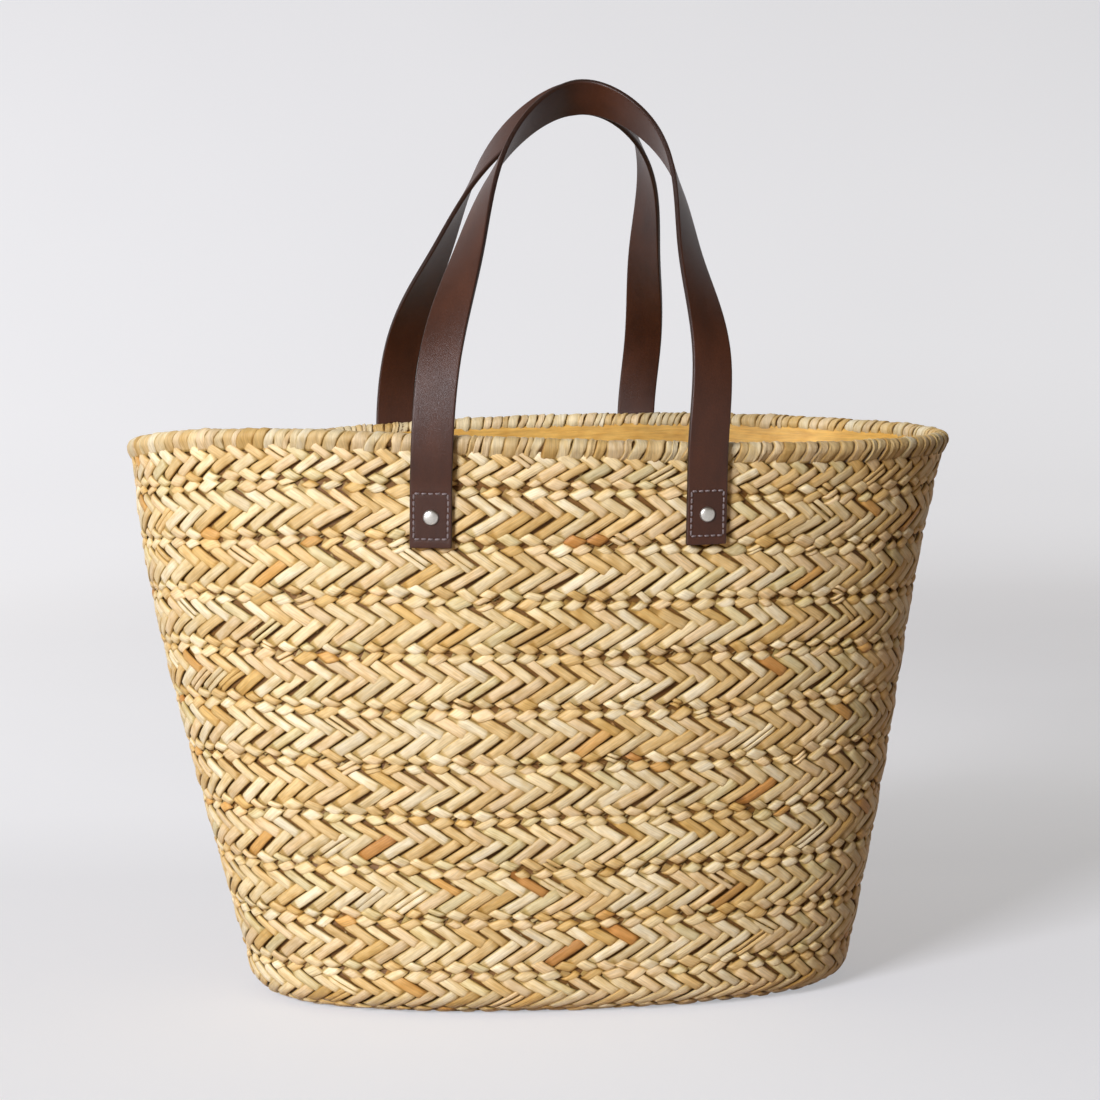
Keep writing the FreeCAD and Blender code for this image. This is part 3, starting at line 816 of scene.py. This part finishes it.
def spline(points, samples):
    """Smooth curve through points, natural at its ends: positions and tangents at even parameters."""
    points = np.array(points, float)
    gaps = np.linalg.norm(np.diff(points, axis=0), axis=1)
    knots = np.concatenate([[0], np.cumsum(gaps)])
    count = len(points)
    matrix, right = np.eye(count), np.zeros((count, 3))
    for i in range(1, count - 1):
        matrix[i, i - 1 : i + 2] = gaps[i - 1], 2 * (gaps[i - 1] + gaps[i]), gaps[i]
        right[i] = 6 * ((points[i + 1] - points[i]) / gaps[i] - (points[i] - points[i - 1]) / gaps[i - 1])
    second = np.linalg.solve(matrix, right)
    t = np.linspace(0, knots[-1], samples)
    i = np.clip(np.searchsorted(knots, t, "right") - 1, 0, count - 2)
    h = gaps[i][:, None]
    a, b = (knots[i + 1] - t)[:, None] / h, (t - knots[i])[:, None] / h
    curve = a * points[i] + b * points[i + 1]
    curve += ((a**3 - a) * second[i] + (b**3 - b) * second[i + 1]) * h**2 / 6
    slope = (points[i + 1] - points[i]) / h
    slope += ((1 - 3 * a**2) * second[i] + (3 * b**2 - 1) * second[i + 1]) * h / 6
    return curve, unit(slope)


def strap_stations(side, seats, samples=161):
    """Centre, direction across and direction out of the face, from the left end to the right end."""
    rim_out = oval_y(strap_spacing / 2) + seat_gap + strap_thickness / 2
    apex_out = strap_width / 2 * math.cos(apex_tilt) + strap_thickness / 2 * math.sin(apex_tilt)
    apex_out = apex_out + handle_gap / 2
    legs = []
    for end in (-1, 1):
        leg = []
        for x, out, z in [(strap_spacing / 2, rim_out, rim_height)] + arch_points:
            share = (z - rim_height) / (apex_height - rim_height)
            leg.append((end * x + apex_lean * share**lean_power, side * out, z))
        seat = seats[end]
        middle = (seat.face + seat.outer_face) / 2
        leg.insert(0, tuple(seat.point(hinge_height + 0.15, middle)))
        legs.append(leg)
    curve, tangents = spline(legs[0] + [(apex_lean, side * apex_out, apex_height)] + legs[1][::-1], samples)
    centres, widths, normals = [], [], []
    for i in range(samples):
        share = 2 * min(i, samples - 1 - i) / (samples - 1)
        seat = seats[-1] if i < samples / 2 else seats[1]
        width, normal = strap_directions(tangents[i], share, side, seat)
        centres.append(curve[i])
        widths.append(width)
        normals.append(normal)
    return np.array(centres), np.array(widths), np.array(normals)


def oval_y(x):
    return rim_depth / 2 * (1 - abs(x / (rim_width / 2)) ** oval_power) ** (1 / oval_power)


def strap_directions(tangent, share, side, seat):
    """Across and out of the face, at a share of the way from the wall to the top of the arch."""
    ease = float(smooth(share / 0.3))
    level_out = unit([seat.out[0], seat.out[1], 0]) * (1 - ease) + np.array([0, side, 0]) * ease
    start = float(smooth(share / 0.06))
    tilt = apex_tilt * share**1.5
    facing = unit(level_out) * math.cos(tilt) + np.array([0, 0, math.sin(tilt)])
    facing = unit(seat.out * (1 - start) + facing * start)
    facing = unit(facing - tangent * (facing @ tangent))
    outside = np.cross(facing, tangent) * -side
    twist = math.pi / 2 * float(smooth(share / twist_end))
    normal = facing * math.cos(twist) + outside * math.sin(twist)
    return np.cross(tangent, normal) * -side, normal


def strap_piece(side_name, side):
    """A handle and its two ends on the wall, in one piece of leather."""
    seats = {end: Seat(side, end) for end in (-1, 1)}
    centres, widths, normals = strap_stations(side, seats)
    levels = np.full(len(centres), apex_height)
    for end, seat in seats.items():
        heights = np.linspace(strap_end_low + 1.0, hinge_height - 2.0, 38)
        heights = np.concatenate([[strap_end_low, strap_end_low + 0.35], heights])
        middle = (seat.face + seat.outer_face) / 2
        tab = np.array([seat.point(z, middle) for z in heights])
        wide = np.array([seat.across] * len(heights))
        flat = np.array([seat.out] * len(heights))
        if wide[0] @ widths[0 if end < 0 else -1] < 0:
            wide = -wide
        pairs = ((tab, centres), (wide, widths), (flat, normals), (heights, levels))
        if end > 0:
            pairs = [(free, sewn[::-1]) for sewn, free in pairs]
        centres, widths, normals, levels = (np.concatenate(pair) for pair in pairs)
    across, rise, keep = strap_section()
    squeeze = np.ones(len(centres))
    squeeze[[0, -1]] = 0.9
    squeeze[[1, -2]] = 0.975
    half, thick = strap_width / 2, strap_thickness / 2
    b = across[None, :] * half * (1 - (1 - squeeze[:, None]) * 0.3)
    groove, inside = stitch_groove(b, levels[:, None])
    h = rise[None, :] * thick * squeeze[:, None] - (rise[None, :] > 0.99) * groove
    points = centres[:, None] + widths[:, None] * b[..., None] + normals[:, None] * h[..., None]
    run = np.concatenate([[0], np.cumsum(np.linalg.norm(np.diff(centres, axis=0), axis=1))])
    around = np.concatenate([[0], np.cumsum(np.hypot(np.diff(across * half), np.diff(rise * thick)))])
    tint = painted(points.shape[:2], 1.0, keep[None, :] * (1 - 0.22 * inside))
    fibre = stacked(run[:, None], around[None, :], 3.0 * side + 5)
    patches = Patches()
    for start in range(0, len(centres) - 1, 20):
        rows = slice(start, min(start + 21, len(centres)))
        patches.add(points[None, rows], tint[None, rows], fibre[None, rows], flip=side > 0)
    for row, flip in ((0, side < 0), (-1, side > 0)):
        cap = np.stack([points[row], np.repeat(points[row].mean(0)[None], points.shape[1], 0)], 0)
        patches.add(cap[None], painted((1, 1, 1), 1.0, 0.2), fibre[row][None, None], flip=flip)
    obj = patches.make(f"leather_strap_{side_name}", leather)
    merge(obj, 1e-6)
    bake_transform(obj)
    ends = [f"strap_end_{side_name}_{end}" for end in ("left", "right")]
    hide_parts(f"handle_{side_name}", *ends)
    return seats


def stitch_groove(across, level):
    """How far the stitching pulls the leather in, and 1 inside the stitched box."""
    out = np.maximum(np.abs(across) - stitch_half, np.abs(level - stitch_middle) - stitch_rise)
    return 0.3 * np.exp(-((out / 0.75) ** 2)) + 0.12 * smooth(-out / 2), smooth(-out / 3 + 0.3)


def strap_section(corner=0.9, steps=4):
    """Rounded section of the strap: across and rise from -1 to 1, and how much of its colour the leather
    keeps, less at its darker cut edges.
    """
    half, thick = strap_width / 2, strap_thickness / 2
    path, keep = [], []
    for sx, sy, first in ((1, 1, 0), (-1, 1, 90), (-1, -1, 180), (1, -1, 270)):
        for i in range(steps + 1):
            angle = math.radians(first + 90 * i / steps)
            x = sx * (half - corner) + corner * math.cos(angle)
            path.append((x, sy * (thick - corner) + corner * math.sin(angle)))
            lean = abs(math.sin(angle))
            keep.append(0.15 + 0.85 * lean**3)
        inner = np.linspace(0, 1, 29)[1:-1] if sx == sy else []
        for t in inner:
            path.append(((1 - 2 * t) * sx * (half - corner), sy * thick))
            keep.append(1.0)
    path.append(path[0])
    keep.append(keep[0])
    path = np.array(path)
    return path[:, 0] / half, path[:, 1] / thick, np.array(keep)


def merge(obj, distance):
    """Welds the seams between patches of one mesh."""
    work = bmesh.new()
    work.from_mesh(obj.data)
    bmesh.ops.remove_doubles(work, verts=work.verts, dist=distance)
    bmesh.ops.recalc_face_normals(work, faces=work.faces)
    work.to_mesh(obj.data)
    work.free()


seats = {name: strap_piece(name, side) for name, side in (("front", -1), ("back", 1))}


# ------ stitches and rivets
thread_radius, thread_reach, thread_lift, thread_dip = 0.56, 1.5, 0.14, 0.65
head_radius, dome_radius, dome_base, dome_rise = 4.5, 4.25, 0.55, 1.5
cap_radius, cap_base, cap_rise, post_radius, post_gap = 4.0, 0.3, 1.9, 1.6, 0.02
centre_hole = 0.02  # in place of 0, so that no face of a turned piece shrinks to a line
even = np.ones((1, 1, 1, 4))  # the tint of a piece whose material doesn't use it


def stitching_piece(name, seat):
    """Box of stitches, each a short thread that dips into the leather at its ends."""
    patches = Patches()
    low, high = (seat.along(stitch_middle + part * stitch_rise, seat.outer_face) for part in (-1, 1))
    columns = (low, high - low, (-stitch_half, stitch_half), True)
    rows = (-stitch_half, 2 * stitch_half, (low, high), False)
    for face, outward in ((seat.outer_face, 1), (seat.patch_face, -1)):
        spots = []
        for start, length, sides, upright in (columns, rows):
            count = int(length / stitch_pitch)
            for i in range(count):
                middle = start + length / count * (i + 0.5)
                spots += [(s, middle, True) if upright else (middle, s, False) for s in sides]
        for x, y, upright in spots:
            t = np.linspace(-1, 1, 9)[:, None]
            section = np.linspace(0, 2 * math.pi, 9)[None, :]
            thick = thread_radius * np.sqrt(1 - 0.75 * t**4)
            run = thread_reach * t + 0 * section
            side = thick * np.cos(section) + rng.normal(0, 0.05)
            height = thread_lift - thread_dip * np.abs(t) ** 3 + thick * 0.75 * np.sin(section)
            height = face + outward * height
            px, py = (x + side, y + run) if upright else (x + run, y - side)
            fibre = np.stack([run * 2, section + 0 * run, 0 * run], -1)
            patches.add(seat.local(px, py, height)[None], even, fibre[None], flip=outward < 0)
    obj = patches.make(f"thread_{name}", thread)
    merge(obj, 1e-7)
    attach(obj, "basket")
    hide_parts(f"stitching_{name}")


def lathe(seat, up, outline, segments=48):
    """Turned piece about the rivet's axis: outline is a list of (radius, height out)."""
    turn = np.linspace(0, 2 * math.pi, segments + 1)[None, :]
    radius = np.array([p[0] for p in outline])[:, None]
    height = np.array([p[1] for p in outline])[:, None] + 0 * turn
    return seat.local(radius * np.cos(turn), up + radius * np.sin(turn), height)


def rivet_pieces(name, seat):
    """A domed head with its post, and the cap that closes it inside."""
    up = seat.along(rivet_height, seat.outer_face)
    face, back = seat.outer_face, seat.patch_face
    dome = [(math.sin(a), math.cos(a)) for a in np.linspace(0.1, math.pi / 2, 12)]
    head = [(centre_hole, face + dome_base + dome_rise)]
    head += [(dome_radius * s, face + dome_base + dome_rise * c) for s, c in dome]
    head += [(head_radius, face + 0.35), (head_radius, face - 0.1), (post_radius, face - 0.1)]
    head += [(post_radius, back - 1.2), (centre_hole, back - 1.2)]
    bore = post_radius + post_gap
    cap = [(centre_hole, back - cap_base - cap_rise)]
    cap += [(cap_radius * s, back - cap_base - cap_rise * c) for s, c in dome]
    cap += [(cap_radius, back), (bore, back), (bore, back - 1.15)]
    for part, outline, flip in (("rivet", head, True), ("rivet_cap", cap, False)):
        patches = Patches()
        patches.add(lathe(seat, up, outline)[None], even, np.zeros((1, 1, 1, 3)), flip=flip)
        obj = patches.make(f"nickel_{part}_{name}", nickel)
        merge(obj, 1e-7)
        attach(obj, "basket")
        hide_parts(f"{part}_{name}")


for side_name in ("front", "back"):
    for end_name, end in (("left", -1), ("right", 1)):
        name = f"{side_name}_{end_name}"
        stitching_piece(name, seats[side_name][end])
        rivet_pieces(name, seats[side_name][end])
        patch = frame["nodes"][f"backing_patch_{name}"]
        patch.data.materials.clear()
        patch.data.materials.append(suede)
# the sewing twine gets the dark straw_shadow brown: painted shade in the seams of the bottom
twine = frame["nodes"]["sewing_twine"]
twine.data.materials.clear()
twine.data.materials.append(backing)


# ------ studio
paper_front, paper_back, paper_bend, paper_top, paper_side = -3.2, 2.0, 1.6, 5.0, 6.0  # in metres


def backdrop():
    """Pale paper that curves up behind the basket. Its glow, for camera, gloss and glass rays, is painted
    lighter to the left and to the back and darker up the wall, with a painted soft shadow behind on the
    right.
    """
    profile_points = [(paper_front, 0.0), (paper_back, 0.0)]
    for a in np.linspace(0.1, math.pi / 2, 24):
        profile_points.append((paper_back + paper_bend * math.sin(a), paper_bend - paper_bend * math.cos(a)))
    profile_points.append((paper_back + paper_bend, paper_top))
    verts = [(x, y, z) for x in (-paper_side, paper_side) for y, z in profile_points]
    count = len(profile_points)
    faces = [(i, count + i, count + i + 1, i + 1) for i in range(count - 1)]
    mesh = bpy.data.meshes.new("backdrop")
    mesh.from_pydata(verts, [], faces)
    mesh.polygons.foreach_set("use_smooth", [True] * len(faces))
    obj = add_object("backdrop", mesh)
    n = Nodes("paper")
    seen = n.seen()
    coordinates = n.coordinates()
    mottle = n.noise(coordinates, 1.3, 2.0)
    paper = n.ramp(mottle, [(0.3, linear(183, 183, 184)), (0.7, linear(187, 187, 188))])
    colour = n.mix(linear(146, 110, 60), paper, seen, "MIX")
    apart = n.node("ShaderNodeSeparateXYZ")
    n.link(coordinates, apart.inputs[0])
    side = n.math("MULTIPLY_ADD", apart.outputs["X"], 0.36, 0.5)
    steps = [(0.16, (0.61, 0.62, 0.645)), (0.5, (0.595, 0.605, 0.63)), (0.84, (0.575, 0.585, 0.605))]
    glow = n.ramp(side, steps)
    behind = n.math("MULTIPLY_ADD", apart.outputs["Y"], 0.2, 0.5)
    steps = [(0.06, 0.3), (0.34, 0.62), (0.52, 0.67), (0.568, 0.71), (0.62, 0.85), (0.74, 0.95), (0.9, 1.0)]
    glow = n.mix(glow, n.greys(behind, steps))
    steps = [(0.0, 1.0), (0.1, 0.91), (0.22, 0.87), (0.36, 0.83), (0.84, 0.72)]
    glow = n.mix(glow, n.greys(apart.outputs["Z"], steps))
    shadow = n.node("ShaderNodeVectorMath", operation="DISTANCE")  # a painted soft shadow in the glow, behind on the right
    n.link(coordinates, shadow.inputs[0])
    shadow.inputs[1].default_value = (0.85, 1.55, 0)
    distance = n.math("MULTIPLY", shadow.outputs["Value"], 0.5)
    steps = [(0.08, 0.66), (0.25, 0.715), (0.45, 0.86), (0.7, 0.97), (1.0, 1.0)]
    glow = n.mix(glow, n.greys(distance, steps))
    n.link(glow, n.shader.inputs["Emission Color"])
    n.link(seen, n.shader.inputs["Emission Strength"])
    mesh.materials.append(n.surface(colour, 0.9, specular=0.1))


def light(name, place, aim, size, power, colour):
    """A rectangular lamp, with its places in metres."""
    data = bpy.data.lights.new(name, "AREA")
    data.shape = "RECTANGLE"
    data.size, data.size_y = size
    data.energy = power
    data.color = colour
    obj = add_object(name, data)
    obj.location = place
    direction = Vector(aim) - Vector(place)
    obj.rotation_euler = direction.to_track_quat("-Z", "Y").to_euler()
    return obj


backdrop()
basket_middle = (0, 0, 0.25)
lit = bpy.data.collections.new("lit_from_behind")
for obj in bpy.context.scene.objects:
    if obj.type == "MESH" and obj.name != "backdrop":
        lit.objects.link(obj)
rear = light("rear", (-0.6, 2.9, 2.0), basket_middle, (2.4, 2.4), 46.0, (1.0, 0.98, 0.95))
rear.light_linking.receiver_collection = lit
rear.visible_camera = rear.visible_glossy = False
light("key", (-3.8, -4.5, 2.5), basket_middle, (2.0, 2.0), 490.0, (0.98, 0.995, 1.07))

world = bpy.data.worlds.new("studio")
bpy.context.scene.world = world
sky = Nodes("sky", world)
apart = sky.node("ShaderNodeSeparateXYZ")
sky.link(sky.node("ShaderNodeTexCoord").outputs["Generated"], apart.inputs[0])
side = sky.math("MULTIPLY_ADD", apart.outputs["X"], 0.5, 0.5)
fill = sky.ramp(side, [(0.0, (0.36, 0.355, 0.335)), (1.0, (0.085, 0.05, 0.018))])
low = sky.greys(apart.outputs["Z"], [(0.2, 1), (0.4, 0)])
colour = sky.mix(fill, (0.66, 0.67, 0.69), sky.math("MULTIPLY", sky.seen(), low), "MIX")
sky.link(colour, sky.shader.inputs["Color"])
bpy.context.scene.view_settings.view_transform = "Standard"

# The viewing angle of the photo, in radians and metres.
camera_turn, camera_dip, camera_distance = -0.1286, 0.10037, 1.898
camera_aside, camera_height = 0.0053, 0.4592
camera_data = bpy.data.cameras.new("camera")
camera_data.sensor_width = 36.0
camera_data.lens = 102.2
camera = add_object("camera", camera_data)
back = np.array([math.sin(camera_turn), -math.cos(camera_turn), 0.0])
right = np.array([math.cos(camera_turn), math.sin(camera_turn), 0.0])
camera.location = back * camera_distance + right * camera_aside + np.array([0, 0, camera_height])
camera.rotation_euler = (math.pi / 2 - camera_dip, 0, camera_turn)
bpy.context.scene.camera = camera
